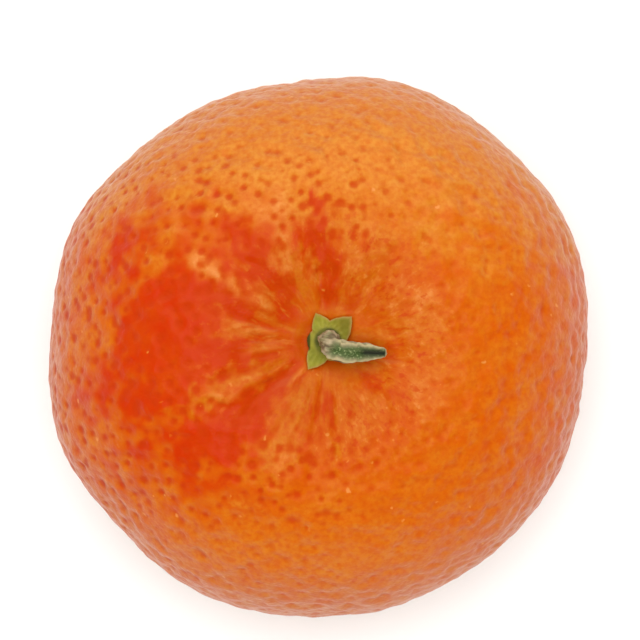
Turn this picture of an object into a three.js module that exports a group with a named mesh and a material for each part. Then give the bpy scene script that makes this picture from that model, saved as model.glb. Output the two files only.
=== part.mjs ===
// A mandarin with the green star of its calyx and a short, bent stub of stem.
// Millimetres, +Z up: the stem end is up, and the fruit rests on a flat ring round its blossom end at z = 0.
import * as THREE from "three";
import { ConvexHull } from "three/addons/math/ConvexHull.js";

const { clamp, degToRad, lerp, radToDeg, smoothstep } = THREE.MathUtils;

// The whole fruit
const EQUATOR_RADIUS = 31.2; // mean, before the lobes
const HALF_HEIGHT = 24.4; // from the middle to the top or bottom, before the dimples
const FULLNESS = 2.25; // 2 is an ellipsoid, and more gives fuller shoulders
const REST_CUT = 0.5; // what the flat resting ring takes off the bottom
const LOBES = [
  // Low waves in the outline: [waves round the equator, height, azimuth of a crest in degrees]
  [2, 0.32, 40],
  [3, 0.21, 50],
  [4, 0.11, 51],
  [6, 0.19, 19],
  [8, 0.2, 20],
  [9, 0.1, 37],
];

// The stem end, whose axis stands a little off the middle
const STEM_X = 0.5;
const STEM_Y = 0.6;
const STEM_DIMPLE = { depth: 5.2, width: 10.5 };
const FURROWS = [
  // Grooves that run out from the calyx: [azimuth in degrees, depth, half width in degrees, reach]
  [44, 0.35, 9, 17],
  [91, 0.95, 7, 18],
  [131, 0.6, 6, 20],
  [160, 0.4, 7, 17],
  [177, 0.45, 5, 13],
  [192, 0.35, 5, 15],
  [228, 0.85, 8, 26],
  [272, 0.65, 7, 25],
  [320, 0.45, 7, 10],
  [350, 0.35, 8, 15],
];
const FURROW_START = 2.4; // distance from the stem axis where a furrow begins
const FURROW_FULL = 6; // and where it has its full depth
const SEAT_RADIUS = 3.7; // flat bed that the calyx sits on
const SEAT_HEIGHT = 2 * HALF_HEIGHT - REST_CUT - STEM_DIMPLE.depth; // the peel's height on the stem axis

// The blossom end
const BLOSSOM_DIMPLE = { depth: 1.6, width: 3.2 };

// The oil pits in the peel
const PIT_COUNT = 985; // if they covered the stem end as well
const PIT_SIDES = 5; // corners of a pit's rim
const PIT_RADIUS = [0.62, 0.95]; // smallest and largest
const PIT_DEPTH = [0.45, 0.7]; // shallowest and deepest
const FURROW_COUNT = 6600; // corners that shape the furrows, if they covered the whole fruit as well
const FURROW_ZONE = 10.5; // distance from the stem axis where the furrows' corners give way to pits
const SCATTER = 0.2; // share of the spacing that a pit or corner wanders from an even layout
const SEED = 20417;

// The calyx: [azimuth of the tip in degrees, distance of the tip] for each sepal
const SEPALS = [
  [46, 4.0],
  [110, 3.6],
  [172, 2.7],
  [235, 3.7],
  [322, 3.1],
];
const SEPAL_NOTCH = 2.25; // distance of the notches between the sepals
const SEPAL_TAPER = 0.8; // under 1 draws the sepals out to points
const SEPAL_STEPS = 10; // along the edge of one sepal
const CALYX_RINGS = 6;
const CALYX_THICKNESS = 0.9; // in the middle
const CALYX_EDGE = 0.5; // thickness along the edge of the sepals
const CALYX_FOOT = 1.75; // radius of the flat middle, with the fruit below it and the stem on it
const CALYX_CLEARANCE = 0.3; // between the sepals and the fruit
const CALYX_TIP_LIFT = 0.35;

// The stem: points of its middle line above the calyx, with the radius at each
const STEM_LINE = [
  [0, 0, 0, 1.5],
  [0, 0, 0.9, 1.28],
  [-0.05, 0.1, 1.8, 1.2],
  [0.5, 0.05, 2.75, 1.2],
  [1.6, -0.25, 3.35, 1.22],
  [3, -0.62, 3.55, 1.14],
  [4.5, -0.92, 3.5, 0.98],
  [5.9, -1.12, 3.35, 0.72],
  [6.9, -1.22, 3.2, 0.4],
];
const STEM_SIDES = 20;
const STEM_STEPS = 32;
const STEM_RIBS = { count: 5, height: 0.06 };
// A groove along the top near the tip: from and to are shares of the length, and depth is a share of the radius.
const STEM_SPLIT = { from: 0.48, to: 1, depth: 0.5, halfWidth: 36 };

const PEEL_COLOUR = "#dd5a12";
const CALYX_COLOUR = "#8f9a2c";
const STEM_COLOUR = "#9c8f6c";

// A repeatable random number source: each call gives a number from 0 to 1.
function randomSource(seed) {
  let state = seed;
  return () => {
    state = (state + 0x6d2b79f5) | 0;
    let t = Math.imul(state ^ (state >>> 15), 1 | state);
    t = (t + Math.imul(t ^ (t >>> 7), 61 | t)) ^ t;
    return ((t ^ (t >>> 14)) >>> 0) / 4294967296;
  };
}

// The angle from one azimuth to another, in degrees from -180 to 180.
function turn(from, to) {
  return ((((to - from + 180) % 360) + 360) % 360) - 180;
}

// The radius of the equator at an azimuth in degrees.
function equatorRadius(azimuth) {
  let radius = EQUATOR_RADIUS;
  for (const [waves, height, crest] of LOBES) {
    radius += height * Math.cos(degToRad(waves * (azimuth - crest)));
  }
  return radius;
}

// How far the furrows cut in at a place round the stem axis.
function furrowDepth(distance, azimuth) {
  let depth = 0;
  for (const [middle, full, halfWidth, reach] of FURROWS) {
    const across = Math.exp(-((turn(middle, azimuth) / halfWidth) ** 2));
    const begins = smoothstep(distance, FURROW_START, FURROW_FULL);
    const ends = 1 - smoothstep(distance, reach / 2, reach);
    depth += full * across * begins * ends;
  }
  return depth;
}

// A point of the peel in a direction from the fruit's middle, moved in by the depth of a pit.
function peelPoint(direction, pitDepth) {
  const azimuth = radToDeg(Math.atan2(direction.y, direction.x));
  const sideways = Math.hypot(direction.x, direction.y) / equatorRadius(azimuth);
  const upwards = Math.abs(direction.z) / HALF_HEIGHT;
  const reach = (sideways ** FULLNESS + upwards ** FULLNESS) ** (-1 / FULLNESS);
  const point = direction.clone().multiplyScalar(reach - pitDepth);
  if (direction.z > 0) {
    const x = point.x - STEM_X;
    const y = point.y - STEM_Y;
    const distance = Math.hypot(x, y);
    point.z -= STEM_DIMPLE.depth * Math.exp(-((distance / STEM_DIMPLE.width) ** 2));
    point.z -= furrowDepth(distance, radToDeg(Math.atan2(y, x)));
    point.z += HALF_HEIGHT - REST_CUT;
    if (distance < SEAT_RADIUS) {
      point.z = SEAT_HEIGHT;
    }
  } else {
    const distance = Math.hypot(point.x, point.y);
    point.z += BLOSSOM_DIMPLE.depth * Math.exp(-((distance / BLOSSOM_DIMPLE.width) ** 2));
    point.z = Math.max(point.z + HALF_HEIGHT - REST_CUT, 0);
  }
  return point;
}

// Directions spread evenly over a sphere along a spiral, each moved a little at random.
function scatteredDirections(count, random) {
  const goldenTurn = Math.PI * (3 - Math.sqrt(5));
  const spacing = Math.sqrt((4 * Math.PI) / count);
  const directions = [];
  for (let i = 0; i < count; i++) {
    const z = 1 - (2 * i + 1) / count;
    const side = Math.sqrt(1 - z * z);
    const direction = new THREE.Vector3(side * Math.cos(i * goldenTurn), side * Math.sin(i * goldenTurn), z);
    const shift = new THREE.Vector3(random() - 0.5, random() - 0.5, random() - 0.5);
    directions.push(direction.addScaledVector(shift, 2 * SCATTER * spacing).normalize());
  }
  return directions;
}

// A closed surface from flat lists of corner positions and of triangles.
function closedGeometry(positions, triangles) {
  const geometry = new THREE.BufferGeometry();
  geometry.setAttribute("position", new THREE.Float32BufferAttribute(positions, 3));
  geometry.setIndex(triangles);
  geometry.computeVertexNormals();
  return geometry;
}

// Directions to the rim of a pit, spread evenly round its middle from a random start.
function rimDirections(middle, angularRadius, start) {
  const east = new THREE.Vector3(-middle.y, middle.x, 0).normalize();
  const north = new THREE.Vector3().crossVectors(middle, east);
  const directions = [];
  for (let side = 0; side < PIT_SIDES; side++) {
    const angle = 2 * Math.PI * (start + side / PIT_SIDES);
    const direction = middle.clone();
    direction.addScaledVector(east, angularRadius * Math.cos(angle));
    direction.addScaledVector(north, angularRadius * Math.sin(angle));
    directions.push(direction.normalize());
  }
  return directions;
}

// Whether the peel in a direction lies at the stem end, among the furrows.
function isFurrowed(direction) {
  const point = peelPoint(direction, 0);
  return direction.z > 0 && Math.hypot(point.x - STEM_X, point.y - STEM_Y) < FURROW_ZONE;
}

// The fruit: a hull of triangles over the corners at the stem end and the middles and rims of all the pits,
// with the middles sunk into the peel, except on the flat resting ring.
function fruitGeometry() {
  const random = randomSource(SEED);
  const directions = scatteredDirections(FURROW_COUNT, random).filter(isFurrowed);
  const depths = directions.map(() => 0);
  for (const middle of scatteredDirections(PIT_COUNT, random)) {
    if (!isFurrowed(middle)) {
      const radius = lerp(PIT_RADIUS[0], PIT_RADIUS[1], random()) / EQUATOR_RADIUS;
      const depth = peelPoint(middle, 0).z > 0 ? lerp(PIT_DEPTH[0], PIT_DEPTH[1], random()) : 0;
      directions.push(middle, ...rimDirections(middle, radius, random()));
      depths.push(depth, ...Array(PIT_SIDES).fill(0));
    }
  }
  const indexOf = new Map(directions.map((direction, i) => [direction, i]));
  const positions = directions.flatMap((direction, i) => peelPoint(direction, depths[i]).toArray());
  const triangles = new ConvexHull().setFromPoints(directions).faces.flatMap((face) =>
    [face.getEdge(0), face.getEdge(1), face.getEdge(2)].map((edge) => indexOf.get(edge.head().point)),
  );
  return closedGeometry(positions, triangles);
}

// The distance of the calyx's edge for a place from 0 to 1 along one sepal, from its first notch to its last.
function sepalDistance(tip, place) {
  return lerp(tip, SEPAL_NOTCH, Math.abs(2 * place - 1) ** SEPAL_TAPER);
}

// The calyx's edge as [azimuth in radians, distance], sepal by sepal.
function calyxEdge() {
  const edge = [];
  SEPALS.forEach(([azimuth, tip], i) => {
    const before = turn(azimuth, SEPALS.at(i - 1)[0]) / 2;
    const after = turn(azimuth, SEPALS[(i + 1) % SEPALS.length][0]) / 2;
    for (let step = 0; step < SEPAL_STEPS; step++) {
      const place = step / SEPAL_STEPS;
      const swing = place < 0.5 ? before * (1 - 2 * place) : after * (2 * place - 1);
      edge.push([degToRad(azimuth + swing), sepalDistance(tip, place)]);
    }
  });
  return edge;
}

// The height of the smooth peel near the stem axis, over the seat.
function bedRise(distance) {
  return STEM_DIMPLE.depth * (1 - Math.exp(-((distance / STEM_DIMPLE.width) ** 2)));
}

// The calyx: a star, flat in the middle, whose sepals lie just clear of the peel with their tips raised a little.
function calyxGeometry() {
  const edge = calyxEdge();
  const positions = [0, 0, CALYX_THICKNESS];
  const addRing = (ring, middleHeight, edgeHeight) => {
    const share = ring / (CALYX_RINGS - 1);
    for (const [azimuth, reach] of edge) {
      const distance = lerp(CALYX_FOOT, reach, share);
      const lift = CALYX_TIP_LIFT * smoothstep(distance, SEPAL_NOTCH, 4);
      const height = lerp(middleHeight, bedRise(distance) + edgeHeight + lift, share ** 0.7);
      positions.push(distance * Math.cos(azimuth), distance * Math.sin(azimuth), height);
    }
  };
  for (let ring = 0; ring < CALYX_RINGS; ring++) {
    addRing(ring, CALYX_THICKNESS, CALYX_CLEARANCE + CALYX_EDGE);
  }
  for (let ring = CALYX_RINGS - 1; ring >= 0; ring--) {
    addRing(ring, 0, CALYX_CLEARANCE);
  }
  positions.push(0, 0, 0);
  return closedGeometry(positions, ringTriangles(edge.length, 2 * CALYX_RINGS));
}

// Triangles that join a first pole, rings of corners and a last pole. The first pole is at the top.
function ringTriangles(sides, rings) {
  const triangles = [];
  const last = 1 + sides * rings;
  for (let i = 0; i < sides; i++) {
    const next = (i + 1) % sides;
    triangles.push(0, 1 + i, 1 + next);
    for (let ring = 0; ring < rings - 1; ring++) {
      const a = 1 + ring * sides + i;
      const b = 1 + ring * sides + next;
      triangles.push(a, a + sides, b, b, a + sides, b + sides);
    }
    triangles.push(1 + (rings - 1) * sides + i, last, 1 + (rings - 1) * sides + next);
  }
  return triangles;
}

// How far the split cuts into the stem at a share of its length and an angle in degrees from its top.
function splitDepth(share, angle) {
  const length = STEM_SPLIT.to - STEM_SPLIT.from;
  const along = Math.sin(Math.PI * clamp((share - STEM_SPLIT.from) / length, 0, 1));
  return STEM_SPLIT.depth * along * Math.exp(-((turn(0, angle) / STEM_SPLIT.halfWidth) ** 2));
}

// The stem: rings of corners along its bent middle line, flat at the foot and drawn to a point at the cut tip.
function stemGeometry() {
  const line = new THREE.CatmullRomCurve3(STEM_LINE.map(([x, y, z]) => new THREE.Vector3(x, y, z)));
  const across = new THREE.Vector3(-0.2, -1, 0).normalize(); // level, and square to the way the stem leans
  const positions = [...line.getPoint(1).toArray()];
  for (let step = STEM_STEPS - 1; step >= 0; step--) {
    const share = step / STEM_STEPS;
    const middle = line.getPoint(share);
    const outward = new THREE.Vector3().crossVectors(across, line.getTangent(share)).normalize();
    const place = share * (STEM_LINE.length - 1);
    const before = STEM_LINE[Math.floor(place)][3];
    const after = STEM_LINE[Math.floor(place) + 1][3];
    for (let side = 0; side < STEM_SIDES; side++) {
      const angle = (360 * side) / STEM_SIDES;
      const rib = STEM_RIBS.height * Math.cos(degToRad(STEM_RIBS.count * angle + 40));
      const radius = lerp(before, after, place % 1) * (1 + rib - splitDepth(share, angle));
      const corner = middle.clone();
      corner.addScaledVector(outward, radius * Math.cos(degToRad(angle)));
      corner.addScaledVector(across, radius * Math.sin(degToRad(angle)));
      positions.push(corner.x, corner.y, step === 0 ? 0 : corner.z);
    }
  }
  positions.push(0, 0, 0);
  return closedGeometry(positions, ringTriangles(STEM_SIDES, STEM_STEPS));
}

// A named mesh with a plain surface colour.
function namedMesh(name, geometry, color, roughness) {
  const mesh = new THREE.Mesh(geometry, new THREE.MeshStandardMaterial({ color, roughness, metalness: 0 }));
  mesh.name = name;
  return mesh;
}

// The whole mandarin, with the middle of its outline on the z axis.
function mandarin() {
  const fruit = namedMesh("fruit", fruitGeometry(), PEEL_COLOUR, 0.38);
  const calyx = namedMesh("calyx", calyxGeometry(), CALYX_COLOUR, 0.6);
  const stem = namedMesh("stem", stemGeometry(), STEM_COLOUR, 0.8);
  calyx.position.set(STEM_X, STEM_Y, SEAT_HEIGHT);
  stem.position.set(STEM_X, STEM_Y, SEAT_HEIGHT + CALYX_THICKNESS);
  const pieces = new THREE.Group();
  pieces.add(fruit, calyx, stem);
  const middle = new THREE.Box3().setFromObject(fruit, true).getCenter(new THREE.Vector3());
  pieces.position.set(-middle.x, -middle.y, 0);
  const whole = new THREE.Group();
  whole.add(pieces);
  return whole;
}

export default mandarin();
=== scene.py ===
"""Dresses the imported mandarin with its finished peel, calyx and stem stub, and sets it on a pale floor in soft light.

The shape tables are in millimetres in the frame of the fruit, and MM turns them into Blender's metres. Azimuths are in
degrees from +X towards +Y, and a distance is measured from the stem axis.
"""

import math

import bpy
import numpy as np
from bpy.props import FloatProperty, FloatVectorProperty, IntProperty, PointerProperty
from bpy.types import NodeSocket, Operator, Panel, PropertyGroup
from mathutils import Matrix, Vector


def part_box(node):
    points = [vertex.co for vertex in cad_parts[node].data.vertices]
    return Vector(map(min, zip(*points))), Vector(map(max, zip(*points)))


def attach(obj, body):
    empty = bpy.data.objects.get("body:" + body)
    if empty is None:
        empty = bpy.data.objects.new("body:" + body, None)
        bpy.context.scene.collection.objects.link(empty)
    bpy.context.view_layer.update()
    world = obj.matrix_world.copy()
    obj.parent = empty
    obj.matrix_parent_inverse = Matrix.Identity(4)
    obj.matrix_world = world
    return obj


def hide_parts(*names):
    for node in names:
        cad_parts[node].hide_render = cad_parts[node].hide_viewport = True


bl_info = {
    "name": "Mandarin",
    "version": (1, 0, 0),
    "blender": (4, 5, 0),
    "location": "3D View > Sidebar > Mandarin",
    "description": "Builds the peel, calyx and stem of a mandarin round its packed construction",
    "category": "Object",
}

MM = 0.001
PEEL_SEED, CALYX_SEED, STEM_SEED, FOLD_SEED, PAINT_SEED = 20417, 20419, 20420, 20421, 20422

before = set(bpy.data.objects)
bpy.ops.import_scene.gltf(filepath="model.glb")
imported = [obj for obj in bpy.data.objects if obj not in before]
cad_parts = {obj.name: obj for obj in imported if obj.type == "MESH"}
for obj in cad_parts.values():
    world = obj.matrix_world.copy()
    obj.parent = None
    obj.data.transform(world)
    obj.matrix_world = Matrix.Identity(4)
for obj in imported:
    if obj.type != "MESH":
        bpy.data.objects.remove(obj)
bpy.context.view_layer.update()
CALYX_REACH = (2.779, -3.031)  # of the construction's calyx from the stem axis, along +X and -Y
SEAT_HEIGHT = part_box("calyx")[0].z / MM  # of the peel on the stem axis
STEM_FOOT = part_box("stem")[0].z / MM

# The peel, as in the construction
REST_CUT = 0.5  # what the flat resting ring takes off the bottom
STEM_DIMPLE = (5.2, 10.5)  # depth, width
BLOSSOM_DIMPLE = (1.6, 3.2)
HALF_HEIGHT = (SEAT_HEIGHT + REST_CUT + STEM_DIMPLE[0]) / 2
FULLNESS = 2.25  # 2 is an ellipsoid, and more gives fuller shoulders
EQUATOR_RADIUS = 31.2
STEM_AXIS = np.array([0.5, 0.6])
SEAT_RADII = (1.7, 3.2)  # inside the first the peel is flat, and outside the second it has its full slope
LOBES = (  # waves round the equator, height, azimuth of a crest
    (2, 0.32, 40), (3, 0.21, 50), (4, 0.11, 51), (6, 0.19, 19), (8, 0.2, 20), (9, 0.1, 37),
)
FURROWS = (  # azimuth, depth, half width, reach
    (44, 0.2, 9, 15), (91, 0.5, 7, 17), (131, 0.34, 6, 19), (160, 0.2, 7, 16), (177, 0.24, 5, 12), (192, 0.18, 5, 13),
    (221, 0.45, 8, 24), (270, 0.36, 7, 20), (320, 0.25, 7, 10), (350, 0.2, 8, 14),
)
FURROW_START = 2.4
FURROW_FULL = 6
BELOW = 40.0  # the distance that counts for all below the equator, out of reach of what is round the stem
# The paleness of these swellings is a painted sheen in the peel's material.
RIDGES = (  # pale swellings: azimuth, height, half width, distances where it starts and ends
    (8, 0.07, 5, 5, 10), (24, 0.14, 4.5, 8.5, 14.5), (36, 0.12, 4, 6.5, 11.5), (68, 0.09, 6, 7, 14),
    (112, 0.14, 6, 6, 19), (121, 0.1, 2.6, 5.5, 11), (146, 0.2, 3.5, 6.5, 13), (147, 0.18, 3, 12.5, 18),
    (169, 0.18, 4.5, 5, 12.5), (186, 0.14, 4, 3.5, 9), (206, 0.14, 4, 6.5, 16), (233, 0.15, 3.5, 3, 7),
    (251, 0.06, 8, 5, 17), (294, 0.15, 4, 4.5, 11), (312, 0.1, 3, 7, 13.5), (336, 0.12, 6, 8, 16),
)
GOLDS = (  # golden lobes between the red ones: azimuth, strength, half width, distances where it starts and ends
    (62, 0.7, 10, 8, 15), (111, 0.9, 6, 4, 18), (204, 1.0, 5, 3, 21), (248, 1.0, 10, 3, 18), (297, 0.9, 6, 3, 11),
)
BLUSHES = (  # red lobes, in the same way
    (20, 0.3, 9, 3, 9), (54, 0.6, 14, 2.5, 8), (84, 0.9, 11, 2.5, 13), (92, 1.0, 6, 7, 18), (129, 0.95, 7.5, 4.5, 22),
    (157, 1.0, 7, 6, 22), (185, 1.0, 8, 3, 20), (222, 1.0, 8, 3.5, 27), (276, 0.75, 8, 3.5, 13), (322, 0.7, 9, 3.5, 10),
    (350, 0.35, 8, 4, 10),
)

# The oil pits
PIT_START = 4.2  # distance within which the peel has none
PIT_FADE = (6, 15)  # distances from where pits are long and faint to where they are round and full
PIT_REACH = 0.085  # angle at the middle of the fruit, in radians, within which a pit shapes the peel
GATHER_WIDTH = 0.024  # of the bell that shares a pit's pull on the grid
PULL, PULL_WIDTH = 0.34, 0.02  # share of the way that corners are drawn to a pit, and the width of its bell

# The calyx: azimuth and distance of each sepal's tip, and distance of the notch after it
SEPALS = ((42.5, 4.2, 2.45), (106, 3.35, 1.8), (166, 1.9, 1.78), (240, 3.5, 2.0), (322, 3.0, 2.45))
SEPAL_TAPER = 0.8  # under 1 draws the sepals out to points
SHEET_RISE = 0.34  # of the middle sheet over the bowl of the peel
HUB_HEIGHT = 0.45  # of the middle sheet at the stem
LOWEST = 0.02  # of the underside, which keeps it clear of the seat

# The stem: points of its middle line above the calyx, with the radius at each
STEM_LINE = (
    (0.61, 0.06, 0, 1.18), (0.56, 0.16, 0.9, 1.1), (0.56, 0.16, 1.8, 1.08), (0.68, -0.02, 2.6, 1.14),
    (1.12, -0.58, 3.1, 1.24), (1.98, -1.0, 3.35, 1.22), (3.1, -1.08, 3.4, 1.12), (4.15, -1.08, 3.35, 1.0),
    (5.15, -1.1, 3.3, 0.82), (6.1, -1.14, 3.2, 0.62), (6.82, -1.2, 3.1, 0.42),
)
GROOVE_OPENS, GROOVE_CLOSES, LIPS_MEET = (0.38, 0.46), (0.955, 0.99), (0.96, 0.99)  # shares of the stem's length
GROOVE_SIDE = 4  # degrees that the groove lies off the top
STEM_ACROSS = np.array([-0.2, -1, 0]) / math.hypot(0.2, 1)  # level, and about square to the way the stem leans

# The colours of the peel, in metres
SUNNY_POINT = (-0.0123, 0.0004, 0.042)
# Middle of a spot of painted sheen in front.
FRONT_SHEEN_POINT = (-0.0085, -0.0165, 0.037)

# The stage: sizes in metres and angles in degrees
SOFTBOX_SIZE, SOFTBOX_PLACE = (1.0, 0.5), (0.03, 0.6, 0.4)
PANEL_SIZE, PANEL_PLACE = (0.9, 0.2), (0.0, -0.7, 0.2)
SUN_TILT, SUN_SPREAD = (-5, -1), 60
HORIZON_BAND = 0.45  # sine of the height up to which the room is bright
CAMERA_CLIP = (0.01, 20.0)


def number(name, description, default, **more):
    """A property for a number."""
    return FloatProperty(name=name, description=description, default=default, **more)


def length(name, description, default):
    """A property for a size in metres."""
    return number(name, description, default, min=0.0, unit="LENGTH", precision=5)


def colour(name, description, default):
    """A property for a linear colour."""
    return FloatVectorProperty(
        name=name, description=description, default=(*default, 1.0), size=4, min=0.0, max=1.0, subtype="COLOR"
    )


class PeelSettings(PropertyGroup):
    """Sizes and colours of the peel."""

    grid: IntProperty(name="Grid", description="Steps along each side of the six grids", default=128, min=16, max=128)
    pits: IntProperty(name="Pits", description="Number of oil pits on the whole fruit", default=4000, min=0)
    pit_scatter: number("Scatter", "Share of their spacing that pits wander", 0.3)
    pit_depth: length("Pit depth", "Depth of the deepest oil pits", 0.0003)
    pit_radius: length("Pit radius", "Radius of the widest oil pits", 0.00068)
    swell: length("Swell", "Height of the low swellings between the pits", 0.00005)
    orange: colour("Orange", "Peel on the side of the stem's tip", (0.47, 0.086, 0.0008))
    red: colour("Red orange", "Peel on the sunny side", (0.425, 0.022, 0.0001))
    # Pale is also the painted sheen on the far shoulder, the near rim and a spot in front.
    pale: colour("Pale orange", "Lands, swellings and the far shoulder", (0.5, 0.19, 0.02))
    golden: colour("Golden", "Lobes between the red ones", (0.45, 0.135, 0.006))
    # Painted sheen and painted glints: pale streaks and specks where the lamps reflect.
    painted_sheen: colour("Cream", "Waxy streaks and flecks", (0.56, 0.205, 0.05))
    blush: colour("Blush", "Red lobes along the furrows", (0.41, 0.023, 0.0001))
    # The pits' own deeper red, with painted shade in the hollows.
    pit: colour("Pit", "Bottom of the oil pits", (0.39, 0.025, 0.0002))
    # Painted shade in the dimple and round the calyx.
    calyx_shade: colour("Collar", "Peel close to the calyx", (0.3, 0.036, 0.001))


class CalyxSettings(PropertyGroup):
    """Sizes and colours of the calyx."""

    thickness: length("Thickness", "Thickness in the middle", 0.00086)
    edge: length("Edge", "Thickness near the edge", 0.00036)
    tip_lift: length("Tip lift", "Height that the tips rise above the peel", 0.0003)
    leaf: colour("Leaf", "Blades of the sepals", (0.17, 0.165, 0.012))
    yellow: colour("Yellow", "Yellower clouds in the blades", (0.31, 0.25, 0.022))
    vein: colour("Vein", "Veins along the sepals", (0.33, 0.33, 0.06))
    blot: colour("Blot", "Darker blots", (0.09, 0.085, 0.008))
    aged: colour("Aged", "Brown of the first sepal", (0.11, 0.08, 0.008))
    # Painted shade round the stem's knob and on the shaded side of the short left sepal.
    shade: colour("Shade", "Sepals near the stem", (0.02, 0.026, 0.004))
    rim: colour("Rim", "Dry edges and tips", (0.31, 0.18, 0.05))


class StemSettings(PropertyGroup):
    """Sizes and colours of the stem."""

    groove: number("Groove", "Depth of the torn groove as a share of the radius", 0.42)
    fibre: length("Fibre", "Height of the fibres of the bark", 0.00005)
    bark: colour("Bark", "Dry bark", (0.235, 0.185, 0.115))
    moss: colour("Moss", "Greener clouds in the bark", (0.15, 0.15, 0.065))
    crest: colour("Crest", "Crests of the fibres", (0.36, 0.29, 0.18))
    crack: colour("Crack", "Cracks between the fibres", (0.07, 0.045, 0.025))
    lip: colour("Lip", "Torn edges of the bark", (0.42, 0.34, 0.19))
    green: colour("Green", "Inner bark in the groove", (0.028, 0.062, 0.012))
    speck: colour("Speck", "Pale specks in the groove", (0.3, 0.34, 0.16))
    dark: colour("Dark", "Bottom of the groove", (0.013, 0.016, 0.01))


class StageSettings(PropertyGroup):
    """The floor, the lights and the camera."""

    floor_size: length("Floor size", "Side of the square floor", 6.0)
    floor: colour("Floor", "Floor", (0.8, 0.8, 0.8))
    view_width: length("View width", "Width of the picture at the fruit's equator", 0.0738)
    lens: number("Lens", "Focal length in millimetres", 200.0, unit="CAMERA")
    aim: FloatVectorProperty(
        name="Aim", description="Where the camera looks at the equator's level", default=(0.0002, 0.0031), size=2
    )
    glow: colour("Glow", "Warm light of the room and the softboxes", (1.0, 0.82, 0.46))
    room: number("Room", "Brightness of the pale room near the horizon", 1.2)
    ceiling: number("Ceiling", "Share of that brightness right above", 0.06)
    sun: number("Overhead light", "Strength of the broad overhead light", 5.2)
    softbox: number("Softbox", "Radiance of the softbox behind the fruit", 3.3)
    panel: number("Panel", "Radiance of the panel in front of the fruit", 1.2)


def smoothstep(value, low, high):
    """0 below low, 1 above high, and 3t^2 - 2t^3 between them, where t runs from 0 to 1."""
    t = np.clip((value - low) / (high - low), 0.0, 1.0)
    return t * t * (3 - 2 * t)


def bell(value, width):
    """A bump of height 1 at 0 that falls as exp(-(value / width)^2)."""
    return np.exp(-((value / width) ** 2))


def turn(azimuth, middle):
    """The angle from one azimuth to another, in degrees from -180 to 180."""
    return (azimuth - middle + 180) % 360 - 180


def polar(points):
    """Distance from the stem axis and azimuth round it."""
    x, y = points[..., 0] - STEM_AXIS[0], points[..., 1] - STEM_AXIS[1]
    return np.hypot(x, y), np.degrees(np.arctan2(y, x))


def cube_sphere(steps):
    """Unit directions of a closed grid of quads, and the quads.

    Each face of a cube is a grid of u and v from -45 to 45 degrees. A corner lies at axis + tan(u) side + tan(v) up,
    at length 1. The corners that faces share are merged.
    """
    span = np.tan(np.linspace(-math.pi / 4, math.pi / 4, steps + 1))
    u, v = np.meshgrid(span, span, indexing="ij")
    faces = []
    for axis in range(3):
        for sign in (1, -1):
            face = np.empty((*u.shape, 3))
            face[..., axis], face[..., (axis + 1) % 3], face[..., (axis + 2) % 3] = sign, u, sign * v
            faces.append(face.reshape(-1, 3))
    corners = np.concatenate(faces)
    corners /= np.linalg.norm(corners, axis=1, keepdims=True)
    _, first, merged = np.unique(corners.round(7), axis=0, return_index=True, return_inverse=True)
    index = merged.reshape(6, steps + 1, steps + 1)
    quads = np.stack([index[:, :-1, :-1], index[:, 1:, :-1], index[:, 1:, 1:], index[:, :-1, 1:]], axis=-1)
    return corners[first], quads.reshape(-1, 4)


def spread_directions(count, scatter, random):
    """Directions spread evenly along a spiral, each a golden turn after the last, and moved a little at random."""
    step = np.arange(count)
    z = 1 - (2 * step + 1) / count
    angle = step * math.pi * (3 - math.sqrt(5))
    side = np.sqrt(1 - z * z)
    directions = np.stack([side * np.cos(angle), side * np.sin(angle), z], axis=1)
    directions += random.uniform(-1, 1, (count, 3)) * scatter * math.sqrt(4 * math.pi / count)
    return directions / np.linalg.norm(directions, axis=1, keepdims=True)


def ruffled(points, seed, swing, sway, longest, shortest):
    """Distance and azimuth round the stem axis, shifted by smooth noise of sway mm and swing degrees.

    The noise fades out towards the stem.
    """
    distance, azimuth = polar(points)
    flat = points * [1, 1, 0]
    random = np.random.default_rng(seed)
    azimuth = azimuth + swing * waves(flat, longest, shortest, 18, random) * smoothstep(distance, 2.5, 8)
    distance = distance + sway * waves(flat, longest, shortest, 18, random) * smoothstep(distance, 3, 9)
    return distance, azimuth


def folded(points):
    """Distance and azimuth for the furrows and swellings, which wander a little."""
    return ruffled(points, FOLD_SEED, 1.3, 0.5, 8, 2.4)


def painted(points):
    """Distance and azimuth for the red lobes and pale streaks, whose edges are ragged."""
    return ruffled(points, PAINT_SEED, 2.4, 1.1, 5, 1.1)


def furrow_depth(distance, azimuth):
    """The sum of full depth * bell across * smooth start * smooth end over the furrows."""
    depth = 0.0
    for middle, full, half_width, reach in FURROWS:
        across = bell(turn(azimuth, middle), half_width)
        along = smoothstep(distance, FURROW_START, FURROW_FULL) * (1 - smoothstep(distance, reach / 2, reach))
        depth = depth + full * across * along
    return depth


def ridge_height(distance, azimuth):
    """The sum of height * bell across * an arch along, sin(pi t)^0.8 for t from start to end, over the ridges."""
    height = 0.0
    for middle, full, half_width, start, end in RIDGES:
        along = np.sin(math.pi * np.clip((distance - start) / (end - start), 0, 1)) ** 0.8
        height = height + full * bell(turn(azimuth, middle), half_width) * along
    return height


def lobe_share(lobes, distance, azimuth):
    """The sum over the lobes of strength * bell across * smooth start * smooth end, with its contrast raised.

    Each lobe starts within 2.5 mm and narrows outwards.
    """
    share = 0.0
    for middle, full, half_width, start, end in lobes:
        t = np.clip((distance - start) / (end - start), 0, 1)
        along = smoothstep(distance, start, start + 2.5) * (1 - smoothstep(t, 0.55, 1))
        share = share + full * bell(turn(azimuth, middle), half_width * (1.3 - 0.7 * t)) * along
    return smoothstep(share, 0.15, 0.8)


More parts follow.
